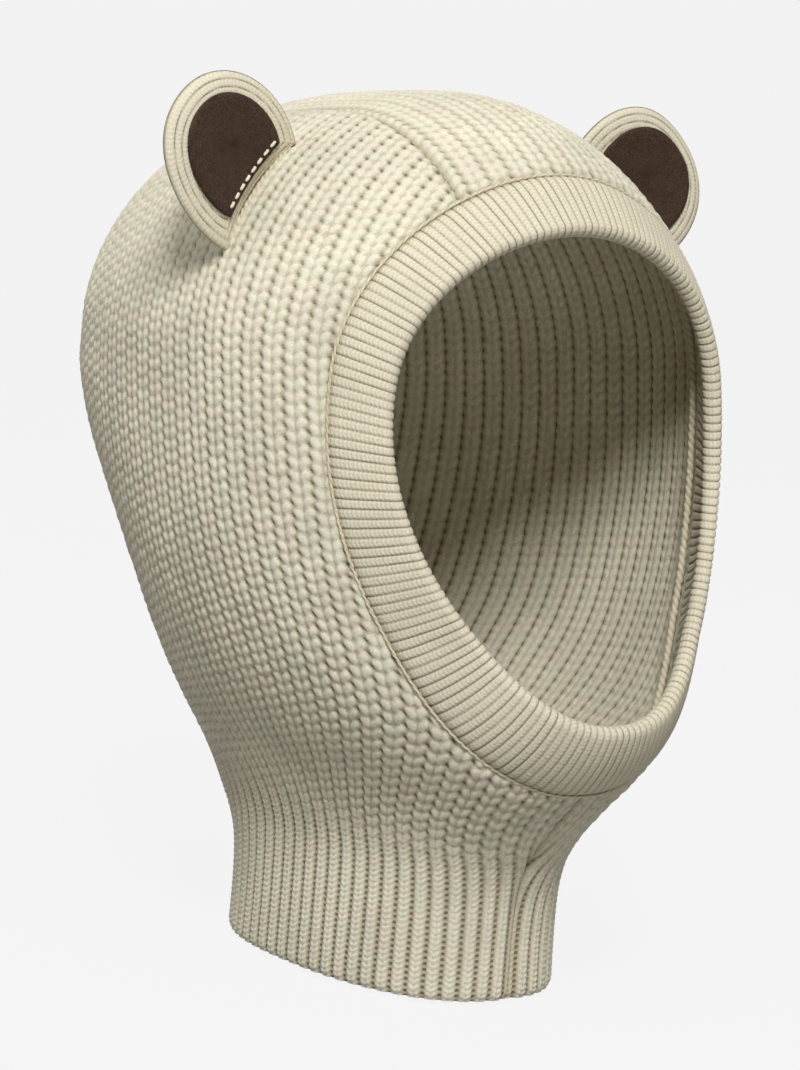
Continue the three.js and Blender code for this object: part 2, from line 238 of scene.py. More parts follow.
def sheetSolid(name, outer, inner, outerPaintedShade, innerPaintedShade, tint=None):
    # a cloth with an outer and an inner face, both rows by columns, joined round its edge
    rows, columns = outer.shape[:2]
    size = rows * columns
    front = gridFaces(rows, columns)
    rim = np.concatenate([
        np.arange(columns), np.arange(1, rows) * columns + columns - 1,
        (rows - 1) * columns + np.arange(columns - 2, -1, -1),
        np.arange(rows - 2, 0, -1) * columns])
    after = np.roll(rim, -1)
    edge = np.stack([rim, after, after + size, rim + size], -1)
    faces = np.concatenate([front, front[:, ::-1] + size, edge])
    points = np.concatenate([outer.reshape(-1, 3), inner.reshape(-1, 3)])
    a, b, c, d = (points[front[0, i]] for i in range(4))
    if np.dot(np.cross(b - a, c - a), outer[0, 0] - inner[0, 0]) < 0:
        faces = faces[:, ::-1]
    u, v = np.meshgrid(np.linspace(0.01, 0.99, rows), np.linspace(0, 1, columns), indexing="ij")
    front = np.stack([u, 0.01 + 0.48 * v], -1).reshape(-1, 2)
    behind = np.stack([u, 0.51 + 0.48 * v], -1).reshape(-1, 2)
    # the painted shade of the outer and inner faces, one value a point
    paintedShadeAndGrain = np.concatenate([outerPaintedShade.ravel(), innerPaintedShade.ravel()])
    both = None if tint is None else np.concatenate([tint.ravel(), tint.ravel()])
    return makeObject(name, points, faces, paintedShadeAndGrain, np.concatenate([front, behind]), both)


def yarnCord(name, path, radius, lump, twist, sides=10, closed=False, around=None):
    # a soft lumpy cord along path, like an overlocked seam allowance; around is its up direction
    path = np.asarray(path, float)
    count = len(path)
    if closed:
        ahead = np.roll(path, -1, 0) - np.roll(path, 1, 0)
    else:
        ahead = np.gradient(path, axis=0)
    ahead /= np.linalg.norm(ahead, axis=1, keepdims=True)
    up = outward(path) if around is None else np.broadcast_to(around, path.shape)
    across = np.cross(ahead, up)
    across /= np.linalg.norm(across, axis=1, keepdims=True)
    up = np.cross(across, ahead)
    gaps = np.linalg.norm(np.diff(path, axis=0), axis=1)
    run = np.concatenate([[0], np.cumsum(gaps)])[:, None]
    turn = np.linspace(0, 2 * np.pi, sides, endpoint=False)[None]
    wave = np.sin(run * 2 * np.pi / twist + 2 * turn)
    wobble = lump * rng.normal(0, 0.35, (count, 1))
    size = radius * (1 + lump * wave + wobble)
    if not closed:
        ends = np.minimum(run, run[-1] - run) / (radius * 1.2)
        size = size * np.sqrt(clamp01(ends) * (2 - clamp01(ends))) + 0.02
    ring = path[:, None] + size[..., None] * (
        np.cos(turn)[..., None] * up[:, None] + np.sin(turn)[..., None] * across[:, None])
    faces = gridFaces(count, sides, True)
    if closed:
        j = np.arange(sides)
        k = (j + 1) % sides
        top = (count - 1) * sides
        faces = np.concatenate([faces, np.stack([top + j, j, k, top + k], -1)])
        points = ring.reshape(-1, 3)
        # painted shade: darker in the grooves of the cord's twist
        paintedShadeAndGrain = (0.6 + 0.4 * wave).ravel()
        return points, faces, paintedShadeAndGrain
    points = np.concatenate([ring.reshape(-1, 3), path[:1], path[-1:]])
    j = np.arange(sides)
    k = (j + 1) % sides
    first = count * sides
    top = (count - 1) * sides
    caps = [np.stack([j, k, j * 0 + first, j * 0 + first], -1),
            np.stack([top + k, top + j, j * 0 + first + 1, j * 0 + first + 1], -1)]
    # painted shade: darker in the grooves of the cord's twist
    paintedShadeAndGrain = np.concatenate([(0.6 + 0.4 * wave).ravel(), [0.6, 0.6]])
    return points, (faces, caps), paintedShadeAndGrain


def joinCords(name, cords):
    # several yarnCord results as one mesh; caps are triangles, so it is built with from_pydata
    mesh = bpy.data.meshes.new(name)
    points, faces, paintedShadeAndGrain = [], [], []
    for at, parts, lift in cords:
        start = len(points)
        points.extend((at * mm).tolist())
        paintedShadeAndGrain.extend(lift.tolist())
        body, caps = parts if isinstance(parts, tuple) else (parts, [])
        faces.extend((np.asarray(body) + start).tolist())
        for cap in caps:
            faces.extend((cap[:, :3] + start).tolist())
    mesh.from_pydata(points, [], faces)
    mesh.polygons.foreach_set("use_smooth", np.ones(len(mesh.polygons), bool))
    layer = mesh.attributes.new("paintedShadeAndGrain", "FLOAT", "POINT")
    layer.data.foreach_set("value", np.asarray(paintedShadeAndGrain, np.float32))
    mesh.update()
    piece = bpy.data.objects.new(name, mesh)
    bpy.context.scene.collection.objects.link(piece)
    return piece


# Materials

def linear(code):
    values = [int(code[i:i + 2], 16) / 255 for i in (1, 3, 5)]
    return [v / 12.92 if v <= 0.04045 else ((v + 0.055) / 1.055) ** 2.4 for v in values] + [1]


def addNode(material, kind, settings=None, links=None):
    node = material.node_tree.nodes.new(kind)
    for key, value in (settings or {}).items():
        if key in node.inputs:
            node.inputs[key].default_value = value
        else:
            setattr(node, key, value)
    for key, source in (links or {}).items():
        material.node_tree.links.new(source, node.inputs[key])
    return node


def yarnMaterial(name, look):
    # carded wool: a soft even colour with painted shade down between the stitches, where the stitch
    # height is low, and fine loose fibres
    material = bpy.data.materials.new(name)
    material.use_nodes = True
    material.node_tree.nodes.clear()
    place = addNode(material, "ShaderNodeTexCoord").outputs["Object"]
    # painted shade: the stitch height at each point turns the colour from the top colour to the dark pit
    # colour; on the felt the same value is its random grain
    paintedShadeAndGrain = addNode(material, "ShaderNodeAttribute", {"attribute_name": "paintedShadeAndGrain"}).outputs["Fac"]
    ramp = addNode(material, "ShaderNodeValToRGB", links={"Fac": paintedShadeAndGrain})
    stops = ramp.color_ramp.elements
    stops[0].position, stops[0].color = look.get("pitAt", 0.02), linear(look["pit"])
    stops[1].position, stops[1].color = look.get("topAt", 0.75), linear(look["top"])
    middle = stops.new(look.get("midAt", 0.3))
    middle.color = linear(look["mid"])
    mottle = addNode(material, "ShaderNodeTexNoise",
                     {"Scale": 1 / (look["mottleSize"] * mm), "Detail": 3.0, "Roughness": 0.6},
                     {"Vector": place})
    patch = addNode(material, "ShaderNodeMapRange",
                    {"From Min": 0.35, "From Max": 0.65, "To Min": 1 - look["mottle"],
                     "To Max": 1 + look["mottle"] * 0.5}, {"Value": mottle.outputs["Fac"]})
    fibre = addNode(material, "ShaderNodeTexNoise",
                    {"Scale": 1 / (look["fibreSize"] * mm), "Detail": 4.0, "Roughness": 0.7},
                    {"Vector": place})
    speck = addNode(material, "ShaderNodeMapRange",
                    {"From Min": 0.3, "From Max": 0.7, "To Min": 1 - look["speckle"],
                     "To Max": 1 + look["speckle"]}, {"Value": fibre.outputs["Fac"]})
    shade = addNode(material, "ShaderNodeMath", {"operation": "MULTIPLY"})
    material.node_tree.links.new(patch.outputs["Result"], shade.inputs[0])
    material.node_tree.links.new(speck.outputs["Result"], shade.inputs[1])
    stitchTint = addNode(material, "ShaderNodeAttribute", {"attribute_name": "tint"})
    tintAt = addNode(material, "ShaderNodeMapRange", {"From Min": -1.0, "From Max": 1.0},
                     {"Value": stitchTint.outputs["Fac"]})
    dye = addNode(material, "ShaderNodeValToRGB", links={"Fac": tintAt.outputs["Result"]})
    dye.color_ramp.elements[0].color = linear("#FFFCFA")
    dye.color_ramp.elements[1].color = linear("#FAFFFA")
    # the painted shade colour times the small random tint of each stitch
    shadeGrainAndDye = addNode(material, "ShaderNodeVectorMath", {"operation": "MULTIPLY"})
    material.node_tree.links.new(ramp.outputs["Color"], shadeGrainAndDye.inputs[0])
    material.node_tree.links.new(dye.outputs["Color"], shadeGrainAndDye.inputs[1])
    colour = addNode(material, "ShaderNodeVectorMath", {"operation": "SCALE"},
                     {"Scale": shade.outputs["Value"]})
    material.node_tree.links.new(shadeGrainAndDye.outputs["Vector"], colour.inputs[0])
    bump = addNode(material, "ShaderNodeBump", {"Strength": look["fuzz"], "Distance": 0.3 * mm},
                   {"Height": fibre.outputs["Fac"]})
    rough = addNode(material, "ShaderNodeMapRange", {"To Min": 0.85, "To Max": 1.0},
                    {"Value": fibre.outputs["Fac"]})
    shader = addNode(material, "ShaderNodeBsdfPrincipled",
                     {"Sheen Weight": look["sheen"], "Sheen Roughness": 0.5,
                      "Specular IOR Level": 0.2, "IOR": 1.54},
                     {"Base Color": colour.outputs["Vector"], "Normal": bump.outputs["Normal"],
                      "Roughness": rough.outputs["Result"]})
    shader.inputs["Sheen Tint"].default_value = linear(look["top"])
    addNode(material, "ShaderNodeOutputMaterial", links={"Surface": shader.outputs["BSDF"]})
    return material


# Half-cardigan wool: cream top loops, with painted shade over the tuck loops. Real fibres are 0.02 mm,
# drawn as coarse as 0.55 mm so that they show.
woolKnit = yarnMaterial("woolHalfCardiganKnitted", {
    "pit": "#5E5340", "mid": "#C2B9A2", "top": "#E4DDCB", "mottleSize": 22, "mottle": 0.08,
    "fibreSize": 0.55, "speckle": 0.15, "fuzz": 0.7, "sheen": 0.25})
woolRib = yarnMaterial("woolFineRibKnitted", {
    "pit": "#7A6E58", "mid": "#C6BBA4", "top": "#E2DAC7", "mottleSize": 30, "mottle": 0.05,
    "fibreSize": 0.4, "speckle": 0.13, "fuzz": 0.55, "sheen": 0.2})
seamYarn = yarnMaterial("woolSeamYarnOverlocked", {
    "pit": "#8A7D64", "mid": "#C4B99F", "top": "#DDD3BC", "mottleSize": 12, "mottle": 0.08,
    "fibreSize": 0.5, "speckle": 0.14, "fuzz": 0.6, "sheen": 0.3})
brownFelt = yarnMaterial("woolFeltNeedled", {
    "pit": "#2A1D16", "mid": "#3A2A21", "top": "#524034", "mottleSize": 5, "mottle": 0.14,
    "fibreSize": 0.45, "speckle": 0.3, "fuzz": 0.9, "sheen": 0.5})
whiteThread = yarnMaterial("cottonTopstitchTwisted", {
    "pit": "#B3A48E", "mid": "#DDD0BC", "top": "#F0E7D8", "mottleSize": 8, "mottle": 0.03,
    "fibreSize": 0.3, "speckle": 0.05, "fuzz": 0.2, "sheen": 0.1})

# Camera: where it stands round the hood, how it is tilted and how far off it is.
view = {"azimuth": -38.61, "elevation": 7.0, "roll": 4.49, "distance": 960.0,
        "target": (0.0, -21.15, 134.4), "shiftAcross": -6.66, "shiftUp": -9.71,
        "lens": 74.13, "sensor": 24.0}


def makeCamera():
    a, e, r = (math.radians(view[k]) for k in ("azimuth", "elevation", "roll"))
    back = Vector((math.sin(a) * math.cos(e), -math.cos(a) * math.cos(e), math.sin(e)))
    right = Vector((math.cos(a), math.sin(a), 0))
    up = back.cross(right)
    tiltedRight = right * math.cos(r) + up * math.sin(r)
    tiltedUp = up * math.cos(r) - right * math.sin(r)
    middle = (Vector(view["target"]) + tiltedRight * view["shiftAcross"]
              + tiltedUp * view["shiftUp"])
    turn = Matrix((tiltedRight, tiltedUp, back)).transposed().to_4x4()
    data = bpy.data.cameras.new("camera")
    data.sensor_fit = "VERTICAL"
    data.sensor_height = view["sensor"]
    data.lens = view["lens"]
    camera = bpy.data.objects.new("camera", data)
    camera.matrix_world = Matrix.Translation((middle + back * view["distance"]) * mm) @ turn
    bpy.context.scene.collection.objects.link(camera)
    bpy.context.scene.camera = camera


makeCamera()

# Studio: a pale sweep, one large soft key high on the face side, a weak fill and a top light.
# The sweep is bright for itself and throws no light on the piece.
studio = {
    "world": "#F3F0EA", "worldStrength": 0.17, "paper": "#F3F3F3", "paperGlow": 0.985,
    "paperBase": 0.03, "sweepRadius": 3.0, "sweepHeight": 4.0, "bend": 1.2, "below": 1.2,
    "lights": [
        ("key", (-0.8, -1.1, 1.42), 0.6, 27.5),
        ("fill", (-1.3, 0.6, 0.7), 1.4, 6.5),
        ("top", (0.1, 0.0, 1.5), 1.0, 4.5),
        ("bounce", (-0.3, -1.2, -0.25), 0.9, 3.6),
    ],
}


def makeSweep():
    # a flat round floor that bends up into a wall, as a studio's paper sweep does
    bend, radius, height = studio["bend"], studio["sweepRadius"], studio["sweepHeight"]
    profile = [(0.02, 0.0), (radius, 0.0)]
    profile += [(radius + bend * math.sin(t), bend - bend * math.cos(t))
                for t in np.linspace(0, math.pi / 2, 17)[1:]]
    profile += [(radius + bend, height)]
    turns = 96
    points = [(r * math.cos(a), r * math.sin(a), h - studio["below"] * mm)
              for r, h in profile for a in np.linspace(0, 2 * math.pi, turns, endpoint=False)]
    faces = gridFaces(len(profile), turns, True)[:, ::-1].tolist()
    faces.append(list(range(turns)))
    mesh = bpy.data.meshes.new("paperSweep")
    mesh.from_pydata(points, [], faces)
    mesh.polygons.foreach_set("use_smooth", np.ones(len(mesh.polygons), bool))
    sweep = bpy.data.objects.new("paperSweep", mesh)
    bpy.context.scene.collection.objects.link(sweep)
    paper = bpy.data.materials.new("paperBackdropMatt")
    paper.use_nodes = True
    shader = paper.node_tree.nodes["Principled BSDF"]
    shader.inputs["Base Color"].default_value = [studio["paperBase"]] * 3 + [1]
    shader.inputs["Roughness"].default_value = 1.0
    shader.inputs["Specular IOR Level"].default_value = 0.0
    shader.inputs["Emission Color"].default_value = linear(studio["paper"])
    shader.inputs["Emission Strength"].default_value = studio["paperGlow"]
    mesh.materials.append(paper)
    sweep.visible_diffuse = False
    sweep.visible_glossy = False
    sweep.visible_shadow = False


def makeStudio():
    scene = bpy.context.scene
    scene.view_settings.view_transform = "Standard"
    world = bpy.data.worlds.new("paleRoom")
    world.use_nodes = True
    background = world.node_tree.nodes["Background"]
    background.inputs["Color"].default_value = linear(studio["world"])
    background.inputs["Strength"].default_value = studio["worldStrength"]
    scene.world = world
    for name, place, size, power in studio["lights"]:
        data = bpy.data.lights.new(name, "AREA")
        data.shape = "DISK"
        data.size = size
        data.energy = power
        light = bpy.data.objects.new(name, data)
        light.location = place
        aim = Vector((0, 0, 0.14)) - Vector(place)
        light.rotation_euler = aim.to_track_quat("-Z", "Y").to_euler()
        scene.collection.objects.link(light)
    makeSweep()


makeStudio()
print("camera, light and materials made")

# Knit
knit = {
    "column": 7.2,       # spacing of the plump columns
    "row": 3.5,          # height of one stitch
    "neckColumn": 5.1,   # the neck draws the columns together
    "tilt": math.radians(7.5),
    "lobe": 1.25,        # how far a stitch stands proud of the ground
    "ribDepth": 1.3,
    "insideRelief": 1.2,
    "widest": 255.0,     # length of the longest row of a side panel
    "rowRise": 18.0,     # how far a mesh row climbs from the side to the front
    "neckRows": 2.1,     # rows of the neck's rib to one row of the hood
    "sample": 0.6,       # grid spacing of the meshes
    "neckSample": 0.42,
    # guessed size of the cloth before it was stretched, in metres and square metres
    "sideFlat": (0.255, 0.300), "sideArea": 0.056,
    "crownFlat": (0.070, 0.330), "crownArea": 0.018,
}


def hashed(i, j, salt):
    # a fixed random number between -1 and 1 for each stitch
    h = np.sin(i * 127.1 + j * 311.7 + salt * 74.7) * 43758.5453
    return 2 * (h - np.floor(h)) - 1


stitch = {"legWide": 1.58, "legLong": 2.15, "lean": 0.5, "apart": 1.68, "ground": 0.40,
          "pitLong": 1.25, "pitWide": 0.5, "pitTurn": 0.7, "pitAt": 0.95}


def stitches(c, r, drop):
    # Plump stitches of two leaning legs; c and r count columns and rows. 0 is the bottom of
    # the pits, 1 the top of a leg. drop shifts every other column by that share of a row.
    column = np.floor(c)
    x = (c - column - 0.5) * knit["column"]
    odd = column % 2
    rr = r + drop * odd
    row = np.floor(rr)
    best = np.full(np.broadcast(x, rr).shape, stitch["ground"])
    for step in (-1, 0, 1):
        near = row + step
        y = (rr - near - 0.5 + 0.05 * hashed(column, near, 1)) * knit["row"]
        for hand in (-1, 1):
            size = 1 + 0.09 * hashed(column, near, 2 + hand)
            lean = hand * (stitch["lean"] + 0.10 * hashed(column, near, 5))
            dx = x - hand * stitch["apart"] * (1 + 0.06 * hashed(column, near, 7))
            along = y * np.cos(lean) + dx * np.sin(lean)
            across = dx * np.cos(lean) - y * np.sin(lean)
            e = 1 - (along / stitch["legLong"] / size) ** 2 - (across / stitch["legWide"] / size) ** 2
            top = 0.94 + 0.08 * hashed(column, near, 9 + hand)
            lift = stitch["ground"] + (top - stitch["ground"]) * np.maximum(e, 0) ** 0.6
            best = np.maximum(best, lift)
    # a slanting deep slit in each row between this column and each of its neighbours, which the painted
    # shade draws dark
    turn = stitch["pitTurn"]
    for hand in (-1, 1):
        shift = drop * (1 - 2 * odd) if hand < 0 else 0
        phase = rr + shift - stitch["pitAt"] + 0.5
        dy = (phase - np.floor(phase) - 0.5) * knit["row"]
        dx = x - hand * knit["column"] / 2
        along = dx * np.cos(turn) - dy * np.sin(turn)
        across = dx * np.sin(turn) + dy * np.cos(turn)
        pit = np.exp(-(along / stitch["pitLong"]) ** 2 - (across / stitch["pitWide"]) ** 2)
        best = best * (1 - 0.95 * pit)
    return best


def ridges(c, r, loopDepth):
    # rib: rounded wales of small stacked loops with deep valleys, 0 to 1
    column = np.floor(c)
    x = c - column - 0.5
    body = np.sqrt(np.maximum(1 - (np.abs(x) / 0.47) ** 2.2, 0))
    legs = np.abs(x) * 1.1
    loops = 0.5 + 0.5 * np.cos(2 * np.pi * (r - legs + 0.08 * hashed(column, np.floor(r), 3)))
    spine = 1 - 0.16 * np.exp(-(x / 0.09) ** 2)
    return body * spine * (1 - loopDepth + loopDepth * loops)


def neckRib(c, r):
    # narrow wales of small Vs; the wide valleys between them show the rungs of the knit
    column = np.floor(c)
    x = c - column - 0.5
    body = np.maximum(1 - (np.abs(x) / 0.4) ** 2.6, 0) ** 0.6
    ripple = 0.5 + 0.5 * np.cos(2 * np.pi * (r - 2.1 * np.abs(x) + 0.1 * hashed(column, np.floor(r), 3)))
    spine = 1 - 0.22 * np.exp(-(x / 0.07) ** 2)
    wale = body * spine * (0.66 + 0.34 * ripple)
    rungs = 0.34 * (0.5 + 0.5 * np.cos(2 * np.pi * r)) * smooth(0.28, 0.4, np.abs(x))
    return np.maximum(wale, rungs)


def insideKnit(c, r):
    # the back of the cloth: broad wales with the rows showing across them
    return 0.62 * ridges(c, r, 0.35) + 0.38 * stitches(c, r, 0.0)


def fleece(p, seed):
    # slow random drift that keeps the stitch grid from looking ruled
    x, y, z = p[..., 0], p[..., 1], p[..., 2]
    return (np.sin(x / 9 + seed) * np.cos(z / 11 - seed) + np.sin(y / 8 + z / 13 + 2 * seed)) / 2


def rowLevel(z, angle):
    # a mesh row starts level at the back, at height z, and climbs towards the front, so that
    # it meets the band's lower edge at an angle
    climb = knit["rowRise"] * smooth(4, 60, z) * (1 - smooth(95, 200, z))
    return z + climb * clamp01(2 * angle / math.pi - 1) ** 2


def centreAngle(z):
    # how far from the centre line a panel stops, 0.1 mm short of it
    return (0.1 / reach("side", z)) ** (ringPower(z) / 2)


def sideLimits(z):
    # the angles at which each mesh row starts and ends, and where it is furthest out
    def seamGap(a):
        return pastSeam(rowLevel(z, a), a)

    def beforeCut(a):
        level = rowLevel(z, a)
        return cutY("bandCut", level) - ringPoint(level, a)[..., 1]

    steps = np.linspace(0, math.pi, 91)
    table = np.stack([seamGap(np.full_like(z, a)) for a in steps])
    widest = steps[np.argmax(table, 0)]
    back = np.maximum(solve(seamGap, 0 * z, widest), centreAngle(z))
    centreFront = math.pi - centreAngle(rowLevel(z, np.full_like(z, math.pi)))
    reaches = beforeCut(centreFront) > 0
    onCut = np.where(reaches, solve(beforeCut, 0 * z, centreFront), centreFront)
    onSeam = solve(lambda a: -seamGap(a), widest, np.maximum(onCut, widest))
    lower = z < hood["crownZ"]
    front = np.where(lower | (seamGap(onCut) > 0), onCut, onSeam)
    front = np.where(lower & ~reaches, centreFront, front)
    return back, front, widest


def readTable(table, i, j):
    # reads a table between its rows and columns
    a = np.clip(i.astype(int), 0, table.shape[0] - 2)
    b = np.clip(j.astype(int), 0, table.shape[1] - 2)
    u, v = i - a, j - b
    return ((table[a, b] * (1 - u) + table[a + 1, b] * u) * (1 - v)
            + (table[a, b + 1] * (1 - u) + table[a + 1, b + 1] * u) * v)


def arcLength(points, axis):
    gaps = np.linalg.norm(np.diff(points, axis=axis), axis=-1)
    first = [(0, 0), (0, 0)]
    first[axis] = (1, 0)
    return np.pad(np.cumsum(gaps, axis=axis), first)


def pulledEdge(distance, depth=1.3, reachIn=1.6):
    # how far the cloth dives at a seam, by its distance from the seam
    return depth * np.exp(-(distance / reachIn) ** 1.3)


def makeSidePanel(name, node, mirror):
    top = float(solve(lambda z: -pastSeam(z, sideLimits(z)[2]), np.array([200.0]),
                      np.array([hood["crownHeight"] - 2]))[0]) - 0.15
    fine = np.linspace(0, top, 1200)
    meridian = ringPoint(fine, np.full_like(fine, math.pi / 2))
    run = arcLength(meridian[:, None], 0)[:, 0]
    gap = np.where(fine < hood["neckHeight"] + 6, knit["neckSample"], knit["sample"])
    count = np.concatenate([[0], np.cumsum(np.diff(run) / gap[1:])])
    z = np.interp(np.linspace(0, count[-1], int(count[-1])), count, fine)
    rows = len(z)
    back, front, widest = sideLimits(z)
    columns = 2 * int(knit["widest"] / knit["sample"] / 2)
    halfTurn = 360
    angles = np.linspace(0, math.pi, 2 * halfTurn + 1)[None, :]
    length = arcLength(ringPoint(rowLevel(z[:, None], angles), angles), 1)
    share = np.linspace(0, 1, columns // 2)
    angle = np.empty((rows, columns))
    along = np.empty((rows, columns))
    for i in range(rows):
        a = np.interp(back[i], angles[0], length[i])
        b = np.interp(front[i], angles[0], length[i])
        middle = np.interp(math.pi / 2, angles[0], length[i])
        want = np.concatenate([a + (middle - a) * share, middle + (b - middle) * share])
        want[columns // 2] += (b - middle) * 0.5 / columns
        angle[i] = np.interp(want, length[i], angles[0])
        along[i] = want - middle
    z = rowLevel(z[:, None], angle)
    base = ringPoint(z, angle)
    normal = outward(base)
    # s and level measure the cloth round and up from the middle of the side
    rings = arcLength(ringPoint(fine[:, None], angles), 1)
    rings = rings - rings[:, halfTurn:halfTurn + 1]
    s = readTable(rings, z / fine[1], angle / math.pi * 2 * halfTurn)
    level = np.interp(z, fine, run) - np.interp(150, fine, run)
    drift = fleece(base, 1.0)
    spacing = knit["neckColumn"] + (knit["column"] - knit["neckColumn"]) * smooth(40, 86, z)
    slope = math.tan(knit["tilt"]) * smooth(50, 110, z)
    c = (s + slope * level + 0.25 * drift) / spacing + 0.5
    r = (level - slope * s + 0.25 * fleece(base, 2.0)) / knit["row"]
    hoodShare = smooth(42, 62, z - 0.1 * base[..., 1])
    plump = stitches(c, r, 0.5)
    ribbed = neckRib(c, r * knit["neckRows"])
    lift = plump * hoodShare + ribbed * (1 - hoodShare)
    depth = knit["lobe"] * hoodShare + knit["ribDepth"] * (1 - hoodShare)
    fromFront = (along[:, -1:] - along) + 0.01
    fromBack = (along - along[:, :1]) + 0.01
    edge = pulledEdge(fromFront) + pulledEdge(fromBack)
    hem = 0.9 * np.exp(-(z / 1.4) ** 2)
    rise = (lift - 0.9) * depth - edge - hem + unevenness(base)
    outer = base + normal * rise[..., None]
    outer[0, :, 2] = 0.2
    grooves = insideKnit(c + 0.5, r)
    depthIn = hood["thickness"] + (grooves - 0.85) * knit["insideRelief"] - 0.2 * edge
    inner = base - normal * depthIn[..., None]
    inner[0, :, 2] = 0.2
    flip = np.array([mirror, 1, 1])
    # painted shade on the outside: darker down between the stitches and where the cloth dives into a
    # seam
    shade = lift * clamp01(1 - edge * 0.4)
    tint = hashed(np.floor(c), np.floor(r), 4)
    # the inside's groove depth is also its painted shade
    piece = sheetSolid(name, outer * flip, inner * flip, shade, grooves, tint)
    piece.data.materials.append(woolKnit)
    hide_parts(node)
    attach(piece, "hood")


makeSidePanel("sidePanelKnitRight", "side_panel_right", 1)
makeSidePanel("sidePanelKnitLeft", "side_panel_left", -1)
print("side panels knitted")


def makeCrownPanel():
    def place(q, phi):
        return crownPoint(q * (crownHalf(phi) - 0.1), phi)

    columns = int(2 * hood["crownHalf"] / knit["sample"]) + 1
    q = np.linspace(-1, 1, columns)

    def beyondCut(phi):
        p = place(q, phi)
        return cutY("bandCut", p[..., 2]) - p[..., 1]

    first = solve(beyondCut, np.full(columns, math.pi / 3), np.full(columns, math.pi * 0.85))
    last = np.full(columns, napeAngle - 0.96 * hood["point"])
    fineShare = np.linspace(0, 1, 900)[:, None]
    track = place(q[None], first * (1 - fineShare) + last * fineShare)
    length = arcLength(track, 0)
    rows = int(length[:, columns // 2][-1] / knit["sample"])
    share = np.linspace(0, 1, rows)
    t = np.stack([np.interp(share * length[-1, j], length[:, j], fineShare[:, 0])
                  for j in range(columns)], 1)
    phi = first * (1 - t) + last * t
    base = place(q[None], phi)
    normal = outward(base)
    across = arcLength(base, 1)
    across = across - across[:, columns // 2:columns // 2 + 1]
    run = share[:, None] * length[-1][None]
    c = (across + 0.3 * fleece(base, 3.0)) / knit["column"] + 0.5
    r = (run + 0.3 * fleece(base, 4.0)) / knit["row"]
    lift = stitches(c, r, 0.5)
    sideways = np.minimum(across - across[:, :1], across[:, -1:] - across) + 0.01
    edge = pulledEdge(sideways) + pulledEdge(run + 0.01) + pulledEdge(length[-1][None] - run + 0.01, 0.5)
    rise = (lift - 0.9) * knit["lobe"] - edge + unevenness(base)
    grooves = insideKnit(c + 0.5, r)
    outer = base + normal * rise[..., None]
    depthIn = hood["thickness"] + (grooves - 0.85) * knit["insideRelief"] - 0.2 * edge
    inner = base - normal * depthIn[..., None]
    tint = hashed(np.floor(c), np.floor(r), 4)
    # painted shade: the stitch height, darker near the seams and the ends, and the inside's grooves
    piece = sheetSolid("crownPanelKnit", outer, inner, lift * clamp01(1 - edge * 0.4), grooves, tint)
    piece.data.materials.append(woolKnit)
    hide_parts("crown_panel")
    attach(piece, "hood")


makeCrownPanel()
print("crown panel knitted")

# Face band: a fine rib strip folded double over the edge of the opening.
faceBand = {"wall": 2.0, "slot": 0.9, "ribSpacing": 2.6, "loop": 1.25, "ribDepth": 0.55,
            "tuck": 0.12, "flat": (0.045, 0.46), "width": 22.0, "turns": 1500,
            "outerPoints": 52, "foldPoints": 15, "underPoints": 44, "slotFrom": 0.3}


